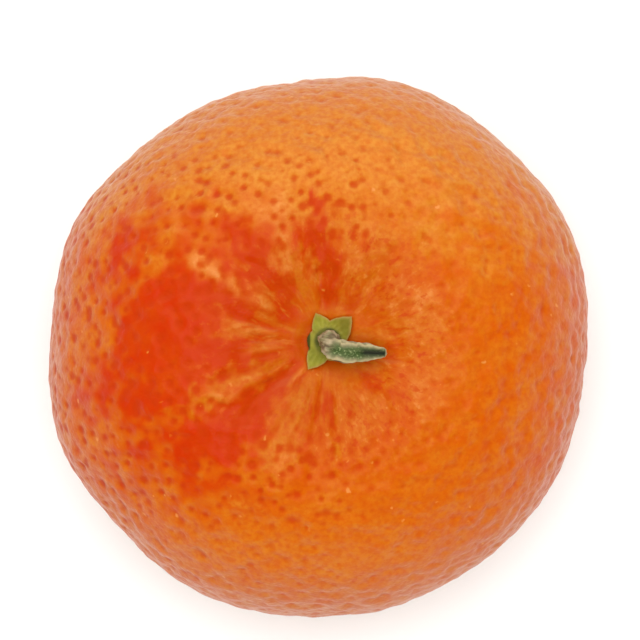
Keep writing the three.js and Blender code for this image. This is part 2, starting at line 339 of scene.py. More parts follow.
def wrinkles(distance, azimuth, random):
    """Fine radial wrinkles: a sum of sin(n azimuth + phase + twist distance), strongest 6 mm from the stem axis."""
    total = 0.0
    for count in random.integers(15, 60, 16):
        phase, twist = random.uniform(0, 2 * math.pi), random.uniform(-0.5, 0.5)
        total = total + np.sin(np.radians(count * azimuth) + phase + twist * distance)
    return total / math.sqrt(8) * smoothstep(distance, 2.6, 4.5) * bell(distance - 6, 7)


def waves(points, longest, shortest, count, random):
    """Smooth noise of about unit size: a sum of sin(2 pi d.p / wavelength + phase) over random directions d."""
    total = np.zeros(len(points))
    for wavelength in np.geomspace(longest, shortest, count):
        direction = random.normal(size=3)
        direction /= np.linalg.norm(direction)
        total += np.sin(points @ direction * (2 * math.pi / wavelength) + random.uniform(0, 2 * math.pi))
    return total * math.sqrt(2 / count)


def smooth_peel(directions):
    """The peel without pits: each direction meets a superellipse whose radius waves with the azimuth.

    (side / equator radius)^n + (height / half height)^n = 1. A dimple with the furrows and ridges sinks the stem end,
    and a small one the blossom end, where a flat ring at height 0 is left to rest on.
    """
    azimuth = np.degrees(np.arctan2(directions[:, 1], directions[:, 0]))
    radius = EQUATOR_RADIUS + sum(h * np.cos(np.radians(n * (azimuth - crest))) for n, h, crest in LOBES)
    sideways = np.hypot(directions[:, 0], directions[:, 1]) / radius
    reach = (sideways**FULLNESS + (np.abs(directions[:, 2]) / HALF_HEIGHT) ** FULLNESS) ** (-1 / FULLNESS)
    points = directions * reach[:, None]
    top = directions[:, 2] > 0
    distance, _ = polar(points)
    depth, width = STEM_DIMPLE
    points[:, 2] += HALF_HEIGHT - REST_CUT
    folds = folded(points)
    relief = ridge_height(*folds) - furrow_depth(*folds) - depth * bell(distance, width)
    crown = SEAT_HEIGHT + (points[:, 2] + relief - SEAT_HEIGHT) * smoothstep(distance, *SEAT_RADII)
    depth, width = BLOSSOM_DIMPLE
    bottom = points[:, 2] + depth * bell(np.hypot(points[:, 0], points[:, 1]), width)
    points[:, 2] = np.where(top, crown, np.maximum(bottom, 0.0))
    return points


def near_pairs(middles, corners, reach, block=400):
    """Every pair of a middle and a corner closer than an angle: indices of both."""
    found = []
    for start in range(0, len(middles), block):
        pairs = np.argwhere(middles[start : start + block] @ corners.T > math.cos(reach))
        found.append(pairs + (start, 0))
    return np.concatenate(found).T


def add_up(index, values, count):
    """The sum of the values, numbers or rows of three, that fall on each index."""
    if values.ndim == 1:
        return np.bincount(index, values, count)
    return np.stack([np.bincount(index, column, count) for column in values.T], axis=1)


def gather_to_pits(corners, middles, pit, corner):
    """Moves grid corners so that one lies on each pit's middle and more lie in it.

    The nearest corner's way to the middle is shared with its surroundings by a bell, then each corner is drawn to
    the middle by a share that falls as a bell.
    """
    gap = np.linalg.norm(middles[pit] - corners[corner], axis=1)
    order = np.lexsort((gap, pit))
    first = np.unique(pit[order], return_index=True)
    nearest = np.zeros(len(middles), int)
    nearest[first[0]] = order[first[1]]
    way = middles - corners[corner[nearest]]
    weight = bell(gap, GATHER_WIDTH) / bell(gap[nearest], GATHER_WIDTH)[pit]
    moved = corners + add_up(corner, way[pit] * weight[:, None], len(corners))
    towards = middles[pit] - moved[corner]
    pull = PULL * bell(np.linalg.norm(towards, axis=1), PULL_WIDTH)
    moved += add_up(corner, towards * pull[:, None], len(corners))
    return moved / np.linalg.norm(moved, axis=1, keepdims=True)


def outward(points, quads):
    """Unit normals at the corners: the sum of the cross products of the diagonals of the quads round each."""
    a, b, c, d = (points[quads[:, i]] for i in range(4))
    across = np.cross(c - a, d - b)
    normals = sum(add_up(quads[:, i], across, len(points)) for i in range(4))
    return normals / np.linalg.norm(normals, axis=1, keepdims=True)


def pit_contrast(points):
    """How red the pits are: less on the side of the stem's tip, and less on the near and far shoulders."""
    # The pits' red is partly their own and partly painted shade in the hollows, and it fades under the painted sheen of
    # the shoulders.
    side = 1 - 0.45 * smoothstep(points[:, 0], 0, 14)
    return side * (1 - 0.4 * smoothstep(points[:, 1], 16, 24)) * (1 - 0.4 * smoothstep(-points[:, 1], 14, 22))


def peel_mesh(settings):
    """Corners in millimetres, quads and masks of the peel, with its oil pits sunk into the smooth shape.

    The pits sink the peel by depth * tanh(sum of strength * exp(-(gap / radius)^2)). Near the stem they are longer
    along the radius, and fainter. Low waves, fine radial wrinkles and the pits all move the corners along the normals.
    """
    random = np.random.default_rng(PEEL_SEED)
    corners, quads = cube_sphere(settings.grid)
    middles = spread_directions(settings.pits, settings.pit_scatter, random)
    distance, _ = polar(smooth_peel(middles))
    middles = middles[(middles[:, 2] < 0) | (distance > PIT_START)]
    pit, corner = near_pairs(middles, corners, PIT_REACH)
    corners = gather_to_pits(corners, middles, pit, corner)
    points, centres = smooth_peel(corners), smooth_peel(middles)

    distance, _ = polar(centres)
    distance = np.where(middles[:, 2] > 0, distance, BELOW)
    away = np.concatenate([centres[:, :2] - STEM_AXIS, np.zeros((len(centres), 1))], axis=1)
    away /= np.linalg.norm(away, axis=1, keepdims=True)
    outer = smoothstep(distance, *PIT_FADE)
    stretch = 1 + 1.3 * (1 - outer)
    strength = random.uniform(0.3, 1, len(middles)) ** 1.2 * (0.3 + 0.7 * outer)
    radius = settings.pit_radius / MM * random.uniform(0.6, 1, len(middles))
    offset = points[corner] - centres[pit]
    along = np.einsum("ij,ij->i", offset, away[pit])
    gap = np.sqrt(np.einsum("ij,ij->i", offset, offset) - along**2 * (1 - stretch[pit] ** -2.0))
    sink = np.tanh(add_up(corner, strength[pit] * bell(gap, radius[pit]), len(points)))
    # The pits' own red and painted shade in them.
    pit_red_and_shade = np.tanh(1.8 * add_up(corner, strength[pit] * bell(gap, 0.8 * radius[pit]), len(points)))

    below = corners[:, 2] <= 0
    distance, azimuth = folded(points)
    distance[below] = BELOW
    open_peel = smoothstep(distance, 3.2, 6) * smoothstep(points[:, 2], 0.0, 0.8)
    # Mask of a painted sheen along the swellings.
    ridge_sheen = ridge_height(distance, azimuth) / 0.15
    rise = settings.swell / MM * (waves(points, 15, 7, 24, random) + waves(points, 4.5, 1.8, 36, random))
    rise += 0.05 * wrinkles(distance, azimuth, random)
    rise -= settings.pit_depth / MM * sink
    distance, azimuth = painted(points)
    distance[below] = BELOW
    masks = {
        "pit": pit_red_and_shade * open_peel * pit_contrast(points),
        "blush": lobe_share(BLUSHES, distance, azimuth),
        "gold": lobe_share(GOLDS, distance, azimuth),
        "ridge_sheen": np.clip(ridge_sheen, 0, 1),
    }
    points += outward(points, quads) * (rise * open_peel)[:, None]
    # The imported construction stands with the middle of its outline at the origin, so the peel is moved with it.
    points[:, :2] += stem_axis() - STEM_AXIS
    return points, quads, masks


def ring_quads(rings, sides):
    """Quads between neighbouring rings, and the triangles that join the first and last ring to two poles.

    The poles are the first and the last corner.
    """
    ring, side = np.meshgrid(np.arange(rings - 1), np.arange(sides), indexing="ij")
    following = (side + 1) % sides
    a = 1 + ring * sides
    quads = np.stack([a + side, a + sides + side, a + sides + following, a + following], axis=-1)
    side = np.arange(sides)
    last = 1 + (rings - 1) * sides
    first_fan = np.stack([np.zeros(sides, int), 1 + side, 1 + (side + 1) % sides], axis=1)
    last_fan = np.stack([last + side, np.full(sides, last + sides), last + (side + 1) % sides], axis=1)
    return quads.reshape(-1, 4).tolist() + first_fan.tolist() + last_fan.tolist()


def sepal_outline(steps):
    """Azimuths, distances and sideways places of the calyx's edge, with a number of steps along each sepal.

    The sideways place s runs from -1 to 1 along a sepal, and the edge lies at tip + (notch - tip) |s|^taper. The
    notches lie half the way between the tips.
    """
    side = 2 * np.arange(steps) / steps - 1
    azimuths, reaches = [], []
    for i, (azimuth, tip, notch) in enumerate(SEPALS):
        before = turn(SEPALS[i - 1][0], azimuth) / 2
        after = turn(SEPALS[(i + 1) % len(SEPALS)][0], azimuth) / 2
        azimuths.append(azimuth + np.where(side < 0, -side * before, side * after))
        reaches.append(tip + (np.where(side < 0, SEPALS[i - 1][2], notch) - tip) * np.abs(side) ** SEPAL_TAPER)
    return np.concatenate(azimuths), np.concatenate(reaches), np.tile(side, len(SEPALS))


def stem_axis():
    """Where the stem axis stands in the frame: back from the calyx's reach along +X and -Y."""
    low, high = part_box("calyx")
    return np.array([high.x / MM - CALYX_REACH[0], low.y / MM - CALYX_REACH[1]])


def calyx_mesh(settings, rings=72, steps=56):
    """Corners in millimetres, faces and masks of the calyx.

    The rings run from the middle of the top by t from 0 to pi: their share of the way to the edge is sin(t), and the
    surface stands off the middle sheet by half the thickness * |cos(t)|^0.6, up above and down below. The middle sheet
    follows the bowl of the peel, the sides of each sepal curl up with s^2, and veins cos(5 pi s) run along the top.
    """
    azimuth, reach, across = sepal_outline(steps)
    random = np.random.default_rng(CALYX_SEED)
    reach = reach * (1 + 0.006 * np.sin(np.radians(azimuth * 23)) + 0.004 * np.sin(np.radians(azimuth * 41 + 50)))
    t = np.linspace(0, math.pi, rings + 2)[1:-1, None]
    share = np.sin(t)
    distance = share * reach
    half = np.where(np.cos(t) > 0, 1, -1) * np.abs(np.cos(t)) ** 0.6 / 2
    thickness = settings.thickness / MM + (settings.edge - settings.thickness) / MM * smoothstep(distance, 1.2, 2.6)
    lift = settings.tip_lift / MM * smoothstep(distance, 2.2, 4)
    sheet = bed_rise(distance) + SHEET_RISE + lift
    sheet = HUB_HEIGHT + (sheet - HUB_HEIGHT) * smoothstep(distance, 1.5, 2.6)
    curl = 0.16 * across**2 * smoothstep(distance, 1.6, 2.6)
    vein = np.cos(across * math.pi * 5) * smoothstep(distance, 1.3, 2.2) * (1 - share**6)
    height = sheet + curl + thickness * half + 0.025 * vein * (np.cos(t) > 0)
    x, y = distance * np.cos(np.radians(azimuth)), distance * np.sin(np.radians(azimuth))
    top, bottom = [[0, 0, settings.thickness / MM]], [[0, 0, LOWEST]]
    points = np.concatenate([top, np.stack([x, y, height], axis=-1).reshape(-1, 3), bottom])
    points[:, 2] = np.maximum(points[:, 2], LOWEST)
    noise = waves(points, 2.4, 0.5, 20, random)
    masks = {
        "edge": flank(smoothstep(share * np.ones_like(distance), 0.86, 1.0)),
        "vein": flank(0.5 + 0.5 * vein),
        # Painted shade: a dark ring round the stem's knob, and the shaded side of the short left sepal.
        "near": flank(1 - smoothstep(np.hypot(x - 0.45, y - 0.08), 1.3, 1.7)),
        "left_sepal_shade": flank(smoothstep(-x, 1.42, 1.6) * (1 - smoothstep(np.abs(y - 0.6), 1.3, 1.7))),
        "blot": np.clip(0.5 + 0.3 * noise, 0, 1),
        "aged": flank(bell(turn(azimuth, SEPALS[0][0]), 30) * smoothstep(distance, 1.5, 3)),
    }
    return points + [*stem_axis(), SEAT_HEIGHT], ring_quads(rings, len(azimuth)), masks


def flank(mask):
    """A mask over the rings with the values of the two poles added."""
    return np.concatenate([[mask[0].mean()], mask.ravel(), [mask[-1].mean()]])


def bed_rise(distance):
    """The height of the smooth bowl of the peel over the stem axis: depth * (1 - bell)."""
    depth, width = STEM_DIMPLE
    return depth * (1 - bell(distance, width))


def stem_curve(share):
    """Points, tangents and radii at shares of the stem's length.

    The middle line is a uniform cubic spline through the points of the table, with tangents half the way between the
    neighbours of each, and the radius runs straight from point to point.
    """
    table = np.array(STEM_LINE, float)
    ends = np.concatenate([[2 * table[0] - table[1]], table, [2 * table[-1] - table[-2]]])
    place = np.clip(share, 0, 1) * (len(table) - 1)
    i = np.minimum(place.astype(int), len(table) - 2)
    f = (place - i)[:, None]
    a, b, c, d = (ends[i + k] for k in range(4))
    spline = b + f / 2 * (c - a) + f**2 * (a - 2.5 * b + 2 * c - 0.5 * d) + f**3 * (1.5 * b - 1.5 * c + 0.5 * (d - a))
    slope = (c - a) / 2 + 2 * f * (a - 2.5 * b + 2 * c - 0.5 * d) + 3 * f**2 * (1.5 * b - 1.5 * c + 0.5 * (d - a))
    tangent = slope[:, :3] / np.linalg.norm(slope[:, :3], axis=1, keepdims=True)
    radius = (b + (c - b) * f)[:, 3]
    return spline[:, :3], tangent, radius


def stem_mesh(settings, rings=170, sides=72):
    """Corners in millimetres, faces and masks of the stem: rings of corners along its bent middle line.

    A ring's radius is radius * (1 + ribs - groove + lips), and noise along the fibres is added to it. The groove opens
    along the top before the middle of the length and closes at the tip, with the profile exp(-(angle / width)^8) and
    a lip along each side. The tip is rounded off.
    """
    random = np.random.default_rng(STEM_SEED)
    share = np.linspace(0, 1, rings)
    middle, tangent, radius = stem_curve(share)
    up = np.cross(STEM_ACROSS, tangent)
    up /= np.linalg.norm(up, axis=1, keepdims=True)
    across = np.cross(tangent, up)
    angle = np.linspace(-180, 180, sides, endpoint=False)[None, :]
    along = share[:, None]
    ragged = waves(np.stack([9 * share, 0 * share, 0 * share], axis=1), 1.4, 0.3, 12, random)[:, None]
    width = 49 + 6 * smoothstep(along, 0.5, 0.65) + 24 * smoothstep(along, 0.78, 1) + 4 * ragged
    opened = smoothstep(along + 0.0003 * np.abs(angle), *GROOVE_OPENS)
    torn = angle - GROOVE_SIDE
    groove = opened * (1 - smoothstep(along, *GROOVE_CLOSES)) * np.exp(-((torn / width) ** 8))
    lips = opened * np.maximum(bell(np.abs(torn) - width - 7, 8), smoothstep(along, *LIPS_MEET))
    ribs = 0.045 * np.cos(np.radians(5 * angle + 40)) + 0.02 * np.cos(np.radians(11 * angle + 170 * along))
    dark_width = 50 + 30 * smoothstep(along, 0.7, 1)
    dark = groove * smoothstep(along, 0.64, 0.74) * np.exp(-((torn / dark_width) ** 4))
    scale = radius[:, None] * (1 + ribs - settings.groove * groove - 0.2 * dark + 0.08 * lips)
    tip = np.sqrt(np.clip(1 - smoothstep(share, 0.965, 1.0) ** 2, 0, 1))[:, None]
    scale = scale * (0.25 + 0.75 * tip)
    upwards, sideways = scale * np.cos(np.radians(angle)), scale * np.sin(np.radians(angle))
    corners = middle[:, None] + up[:, None] * upwards[..., None] + across[:, None] * sideways[..., None]
    corners[0, :, 2] = 0.0
    stretched = corners.reshape(-1, 3) * [0.35, 1, 0.8]
    fibres = waves(stretched, 1.2, 0.25, 30, random).reshape(corners.shape[:2])
    sides_out = corners - middle[:, None]
    sides_out /= np.maximum(np.linalg.norm(sides_out, axis=2, keepdims=True), 1e-6)
    corners += sides_out * (settings.fibre / MM * fibres * smoothstep(along, 0.0, 0.05))[..., None]
    foot, cut = corners[0].mean(0), corners[-1].mean(0) + tangent[-1] * 0.08
    points = np.concatenate([[cut], corners[::-1].reshape(-1, 3), [foot]])
    masks = {
        "groove": flank(groove[::-1]),
        "lip": flank(lips[::-1]),
        "dark": flank(dark[::-1]),
        "fibre": flank(np.clip(0.5 + 0.35 * fibres[::-1], 0, 1)),
        "knob": flank((1 - smoothstep(along[::-1], 0.34, 0.42)) * np.ones_like(angle)),
    }
    return points + [*stem_axis(), STEM_FOOT], ring_quads(rings, sides), masks


def add_piece(name, mesh_data, material):
    """A piece at the origin from corners in millimetres, faces and masks. It stands for its namesake CAD node."""
    points, faces, masks = mesh_data
    mesh = bpy.data.meshes.new(name)
    mesh.from_pydata(points * MM, [], faces if isinstance(faces, list) else faces.tolist())
    mesh.polygons.foreach_set("use_smooth", np.ones(len(mesh.polygons), bool))
    for mask, values in masks.items():
        mesh.attributes.new(mask, "FLOAT", "POINT").data.foreach_set("value", values.astype(np.float32))
    if mesh.validate():
        raise RuntimeError(f"the mesh of {name} had faults")
    mesh.materials.append(material)
    piece = bpy.data.objects.new(f"{name}_finish", mesh)
    bpy.context.scene.collection.objects.link(piece)
    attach(piece, "root")
    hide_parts(name)
    return piece


class Graph:
    """Adds nodes to a tree. A socket given as a value is linked, and anything else is set on the node's own socket."""

    def __init__(self, tree):
        self.tree = tree

    def node(self, kind, values=None, **settings):
        made = self.tree.nodes.new(kind)
        for key, value in settings.items():
            setattr(made, key, value)
        return self.wire(made, values or {})

    def wire(self, node, values):
        for key, value in values.items():
            if isinstance(value, NodeSocket):
                self.tree.links.new(value, node.inputs[key])
            else:
                node.inputs[key].default_value = value
        return node

    def math(self, operation, a, b=0.0, clamp=False):
        return self.node("ShaderNodeMath", {0: a, 1: b}, operation=operation, use_clamp=clamp).outputs[0]

    def vector(self, operation, a, b=(0.0, 0.0, 0.0)):
        made = self.node("ShaderNodeVectorMath", {0: a, 1: b}, operation=operation)
        return made.outputs["Value" if operation in ("LENGTH", "DISTANCE", "DOT_PRODUCT") else "Vector"]

    def span(self, value, low, high, to_low=0.0, to_high=1.0):
        values = {"Value": value, "From Min": low, "From Max": high, "To Min": to_low, "To Max": to_high}
        return self.node("ShaderNodeMapRange", values, interpolation_type="SMOOTHSTEP").outputs["Result"]

    def product(self, first, *others):
        for other in others:
            first = self.math("MULTIPLY", first, other)
        return first

    def paint(self, tone, *coats):
        """A colour with others laid over it, each with its share."""
        for share, coat in coats:
            tone = self.node("ShaderNodeMix", {0: share, 6: tone, 7: coat}, data_type="RGBA").outputs[2]
        return tone

    def noise(self, vector, scale, detail=2.0, roughness=0.5, output="Fac"):
        values = {"Vector": vector, "Scale": scale, "Detail": detail, "Roughness": roughness}
        return self.node("ShaderNodeTexNoise", values).outputs[output]

    def masks(self, *names):
        return [self.node("ShaderNodeAttribute", attribute_name=name).outputs["Fac"] for name in names]

    def place(self):
        return self.node("ShaderNodeTexCoord").outputs["Object"]

    def part(self, vector, axis):
        return self.node("ShaderNodeSeparateXYZ", {"Vector": vector}).outputs[axis]


def new_group(name, inputs, outputs):
    """An empty shader node group with its sockets: the tree, its graph and its input and output nodes."""
    tree = bpy.data.node_groups.new(name, "ShaderNodeTree")
    for side, sockets in (("INPUT", inputs), ("OUTPUT", outputs)):
        for label, (kind, default) in sockets.items():
            socket = tree.interface.new_socket(name=label, in_out=side, socket_type=kind)
            if default is not None:
                socket.default_value = default
    graph = Graph(tree)
    return tree, graph, graph.node("NodeGroupInput"), graph.node("NodeGroupOutput")


FLOAT, VECTOR = "NodeSocketFloat", "NodeSocketVector"


def mottle_group():
    """Cloudy patches of colour: two noises, the finer one a quarter of the size, with their contrast raised."""
    if "mottle" in bpy.data.node_groups:
        return bpy.data.node_groups["mottle"]
    tree, graph, given, result = new_group(
        "mottle",
        {"Vector": (VECTOR, None), "Scale": (FLOAT, 200.0), "Contrast": (FLOAT, 1.0)},
        {"Patches": (FLOAT, None), "Specks": (FLOAT, None)},
    )
    vector, scale, contrast = (given.outputs[name] for name in ("Vector", "Scale", "Contrast"))
    coarse, fine = graph.noise(vector, scale, 3.0), graph.noise(vector, graph.product(scale, 4.0))
    for name, value in (("Patches", coarse), ("Specks", fine)):
        centred = graph.product(graph.math("SUBTRACT", value, 0.5), contrast, 2.4)
        tree.links.new(graph.math("ADD", centred, 0.5, clamp=True), result.inputs[name])
    return tree


def skin_group():
    """The fine surface of a plant skin: cells of a Voronoi pattern and a finer noise, as a height for a Bump."""
    if "plant_skin" in bpy.data.node_groups:
        return bpy.data.node_groups["plant_skin"]
    tree, graph, given, result = new_group(
        "plant_skin",
        {"Vector": (VECTOR, None), "Scale": (FLOAT, 3000.0), "Grain": (FLOAT, 0.5)},
        {"Height": (FLOAT, None)},
    )
    vector, scale, grain = (given.outputs[name] for name in ("Vector", "Scale", "Grain"))
    cells = graph.node("ShaderNodeTexVoronoi", {"Vector": vector, "Scale": scale}, feature="SMOOTH_F1")
    grain = graph.product(graph.noise(vector, graph.product(scale, 0.45), 3.0), grain)
    tree.links.new(graph.math("ADD", cells.outputs["Distance"], grain), result.inputs["Height"])
    return tree


def mottle(graph, place, scale, contrast):
    """The patches and specks of the mottle group."""
    values = {"Vector": place, "Scale": scale, "Contrast": contrast}
    return graph.node("ShaderNodeGroup", values, node_tree=mottle_group()).outputs


def skin_normal(graph, place, scale, grain, strength, depth):
    """The normal that the plant skin gives."""
    skin = graph.node("ShaderNodeGroup", {"Vector": place, "Scale": scale, "Grain": grain}, node_tree=skin_group())
    values = {"Strength": strength, "Distance": depth, "Height": skin.outputs["Height"]}
    return graph.node("ShaderNodeBump", values).outputs["Normal"]


def new_material(name):
    """A material with a Principled shader: the material, its graph and the shader."""
    material = bpy.data.materials.new(name)
    material.use_nodes = True
    graph = Graph(material.node_tree)
    return material, graph, material.node_tree.nodes["Principled BSDF"]


def radial_noise(graph, from_axis, around, along):
    """Streaks that run out from the stem axis: a noise over the direction times around and the distance times along.

    A second noise first moves each place by up to 0.45 mm, so that the streaks wander.
    """
    moved = graph.vector("MULTIPLY", graph.noise(from_axis, 420.0, 1.0, output="Color"), (0.0009, 0.0009, 0.0))
    flat = graph.vector("MULTIPLY", graph.vector("ADD", from_axis, moved), (1.0, 1.0, 0.0))
    flat = graph.vector("SUBTRACT", flat, (0.00045, 0.00045, 0.0))
    turned = graph.vector("MULTIPLY", graph.vector("NORMALIZE", flat), (around, around, 0.0))
    outwards = graph.vector("MULTIPLY", graph.vector("LENGTH", flat), (0.0, 0.0, along))
    return graph.noise(graph.vector("ADD", turned, outwards), 1.0, 3.0, 0.6)


def band(graph, distance, start, full, fading, end):
    """1 between two distances from the stem axis, with smooth borders."""
    return graph.product(graph.span(distance, start, full), graph.span(distance, fading, end, 1.0, 0.0))


def ground_tone(graph, settings, place, clouds, small):
    """The plain colour of the peel, and how sunny it is: orange, red on the sunny side, and pale in other parts.

    The sunny side lies round a point on the left shoulder. The far shoulder, the near rim and a spot in front are
    paler, a painted sheen where the softbox and the panel reflect. Clouds of two sizes move these borders.
    """
    drift = graph.math("SUBTRACT", graph.product(clouds["Patches"], 0.008), 0.0065)
    drift = graph.math("ADD", drift, graph.product(small["Patches"], 0.005))
    sunny = graph.vector("MULTIPLY", graph.vector("SUBTRACT", place, SUNNY_POINT), (1.0, 0.68, 0.6))
    sunny = graph.span(graph.math("ADD", graph.vector("LENGTH", sunny), drift), 0.007, 0.0155, 1.0, 0.0)
    back = graph.math("ADD", graph.part(place, "Y"), drift)
    front = graph.math("ADD", graph.vector("DISTANCE", place, FRONT_SHEEN_POINT), drift)
    tone = graph.paint(
        settings.orange,
        (sunny, settings.red),
        # Painted sheen: paler peel on the far shoulder towards the softbox, on the near rim towards the panel, and
        # round a spot in front.
        (graph.span(back, 0.006, 0.02, 0.0, 0.75), settings.pale),
        (graph.span(back, -0.026, -0.014, 0.25, 0.0), settings.pale),
        (graph.span(front, 0.001, 0.007, 0.6, 0.0), settings.pale),
    )
    return tone, sunny


def stroke_tone(graph, settings, tone, from_axis, distance, clear):
    """A colour with red strokes and strokes of painted sheen in two rings round the calyx, short ones and then long
    ones nearer to it.

    The short ones are fainter on the sunny side, and clear is the strength of the painted sheen.
    """
    side = graph.part(from_axis, "X")
    outer = band(graph, distance, 0.005, 0.008, 0.011, 0.017)
    outer = graph.product(outer, graph.span(side, -0.004, 0.004, 0.5, 1.0))
    inner = band(graph, distance, 0.0026, 0.0045, 0.007, 0.015)
    short = radial_noise(graph, from_axis, 14.0, 900.0)
    long = radial_noise(graph, from_axis, 5.5, 300.0)
    for strokes, ring, red, painted_sheen in (
        (short, outer, (0.48, 0.32, 0.0, 0.7), (0.54, 0.7, 0.0, 0.8)),
        (long, inner, (0.48, 0.3, 0.0, 0.65), (0.56, 0.72, 0.0, 0.8)),
    ):
        tone = graph.paint(
            tone,
            (graph.product(graph.span(strokes, *red), ring), settings.blush),
            # The cream strokes are a painted sheen on small ridges.
            (graph.product(graph.span(strokes, *painted_sheen), ring, clear), settings.painted_sheen),
        )
    return tone


def glint_mask(graph, place, clouds):
    """Painted glints: the middles of the cells of a Voronoi pattern, bent by a fine noise and left out between clouds.
    """
    bent = graph.vector("MULTIPLY", graph.noise(place, 1500.0, 1.0, output="Color"), (0.0008, 0.0008, 0.0008))
    values = {"Vector": graph.vector("ADD", place, bent), "Scale": 420.0}
    middle = graph.node("ShaderNodeTexVoronoi", values).outputs["Distance"]
    return graph.product(graph.span(middle, 0.05, 0.13, 1.0, 0.0), graph.span(clouds["Specks"], 0.4, 0.65))


def peel_material(settings):
    """Waxy peel: plain colour with painted sheen, golden and red lobes, sheen on ridges and strokes, shaded red pits,
    glints, calyx shade.
    """
    material, graph, shader = new_material("peel")
    place = graph.place()
    clouds = mottle(graph, place, 130.0, 1.0)
    small = mottle(graph, place, 430.0, 1.3)
    pit, blush, gold, ridge_sheen = graph.masks("pit", "blush", "gold", "ridge_sheen")
    from_axis = graph.vector("SUBTRACT", place, stem_point())
    distance = graph.vector("LENGTH", graph.vector("MULTIPLY", from_axis, (1.0, 1.0, 0.0)))

    tone, sunny = ground_tone(graph, settings, place, clouds, small)
    plain = graph.math("SUBTRACT", 1.0, graph.product(sunny, 0.7))
    broad = radial_noise(graph, from_axis, 3.5, 110.0)
    broad = graph.product(broad, graph.span(distance, 0.012, 0.022, 1.0, 0.0))
    tone = graph.paint(
        tone,
        (graph.product(small["Patches"], 0.4, plain), settings.pale),
        (graph.span(broad, 0.5, 0.65, 0.0, 0.5), settings.pale),
        (graph.product(gold, 0.85), settings.golden),
        (graph.product(blush, 0.9), settings.blush),
        # Painted sheen along the swellings.
        (graph.product(ridge_sheen, graph.span(small["Patches"], 0.1, 0.7, 0.3, 1.0)), settings.painted_sheen),
    )
    clear = graph.math("SUBTRACT", 1.0, graph.product(graph.math("MAXIMUM", blush, gold), 0.65))
    tone = stroke_tone(graph, settings, tone, from_axis, distance, clear)
    # Painted shade: the peel darkens towards the calyx, broadly in the dimple and more in a ring round the calyx.
    calyx_shade = graph.span(distance, 0.002, 0.004, 0.25, 0.0)
    tone = graph.paint(
        tone,
        (graph.product(small["Specks"], 0.4), settings.blush),
        # The pits' own deeper red, with painted shade in the hollows.
        (graph.span(pit, 0.15, 0.85, 0.0, 0.8), settings.pit),
        # Painted glints: small pale specks where the lamps would glint.
        (graph.product(glint_mask(graph, place, clouds), 0.8), settings.painted_sheen),
        (graph.math("ADD", graph.span(distance, 0.002, 0.02, 0.4, 0.0), calyx_shade), settings.calyx_shade),
    )

    # The redder the peel, the more of the blue its pigments take away.
    parts = graph.node("ShaderNodeSeparateColor", {"Color": tone}).outputs
    blue = graph.product(parts["Blue"], graph.math("MULTIPLY", parts["Green"], 5.5, clamp=True))
    tone = graph.node("ShaderNodeCombineColor", {"Red": parts["Red"], "Green": parts["Green"], "Blue": blue}).outputs[0]

    bump = skin_normal(graph, place, 2600.0, 0.8, 0.6, 0.00007)
    roughness = graph.math("ADD", graph.product(small["Specks"], 0.4), pit)
    roughness = graph.span(roughness, 0.0, 1.2, 0.34, 0.55)
    graph.wire(
        shader,
        {
            "Base Color": tone,
            "Roughness": roughness,
            "Normal": bump,
            "IOR": 1.26,
            "Coat Weight": graph.span(pit, 0.1, 0.6, 0.1, 0.0),
            "Coat Roughness": 0.25,
            "Subsurface Weight": 0.15,
            "Subsurface Radius": (1.0, 0.3, 0.08),
            "Subsurface Scale": 0.0009,
        },
    )
    return material


def stem_point():
    """The middle of the calyx in metres."""
    return (*(stem_axis() * MM), SEAT_HEIGHT * MM)


def calyx_material(settings):
    """Yellow-green sepals with pale veins, dry rims, and painted shade in the middle and on the left sepal."""
    material, graph, shader = new_material("calyx")
    place = graph.place()
    clouds = mottle(graph, place, 700.0, 1.0)
    edge, vein, near, blot, left_sepal_shade, aged = graph.masks("edge", "vein", "near", "blot", "left_sepal_shade", "aged")
    near = graph.product(near, graph.span(clouds["Patches"], 0.1, 0.8, 0.5, 1.0))
    tone = graph.paint(
        settings.leaf,
        (graph.product(clouds["Patches"], 0.5), settings.yellow),
        (graph.product(vein, 0.2), settings.vein),
        (graph.product(blot, 0.35), settings.blot),
        (graph.product(aged, 0.6), settings.aged),
        (graph.product(edge, 0.7), settings.rim),
        # Painted shade round the knob and on the left sepal.
        (graph.product(graph.math("MAXIMUM", near, left_sepal_shade), 0.9), settings.shade),
    )
    bump = skin_normal(graph, place, 5200.0, 0.8, 0.5, 0.00005)
    roughness = graph.span(clouds["Specks"], 0.0, 1.0, 0.68, 0.5)
    graph.wire(shader, {"Base Color": tone, "Roughness": roughness, "Normal": bump, "IOR": 1.42})
    return material


def stem_material(settings):
    """Dry taupe bark with pale torn lips round a green groove that is nearly black towards the tip."""
    material, graph, shader = new_material("stem")
    place = graph.place()
    clouds = mottle(graph, place, 900.0, 1.2)
    groove, lip, dark, fibre, knob = graph.masks("groove", "lip", "dark", "fibre", "knob")
    tone = graph.paint(
        settings.bark,
        (clouds["Patches"], settings.moss),
        (graph.span(fibre, 0.5, 0.95, 0.0, 0.6), settings.crest),
        (graph.span(fibre, 0.1, 0.4, 0.7, 0.0), settings.crack),
        (graph.product(lip, 0.85), settings.lip),
        (graph.product(groove, 0.9), settings.green),
        (graph.product(groove, graph.span(clouds["Specks"], 0.6, 1.0, 0.0, 0.5)), settings.speck),
        (dark, settings.dark),
    )
    bump = skin_normal(graph, place, 4200.0, 1.2, 0.7, 0.00008)
    roughness = graph.span(knob, 0.0, 1.0, 0.75, 0.6)
    graph.wire(shader, {"Base Color": tone, "Roughness": roughness, "Normal": bump, "IOR": 1.45})
    return material


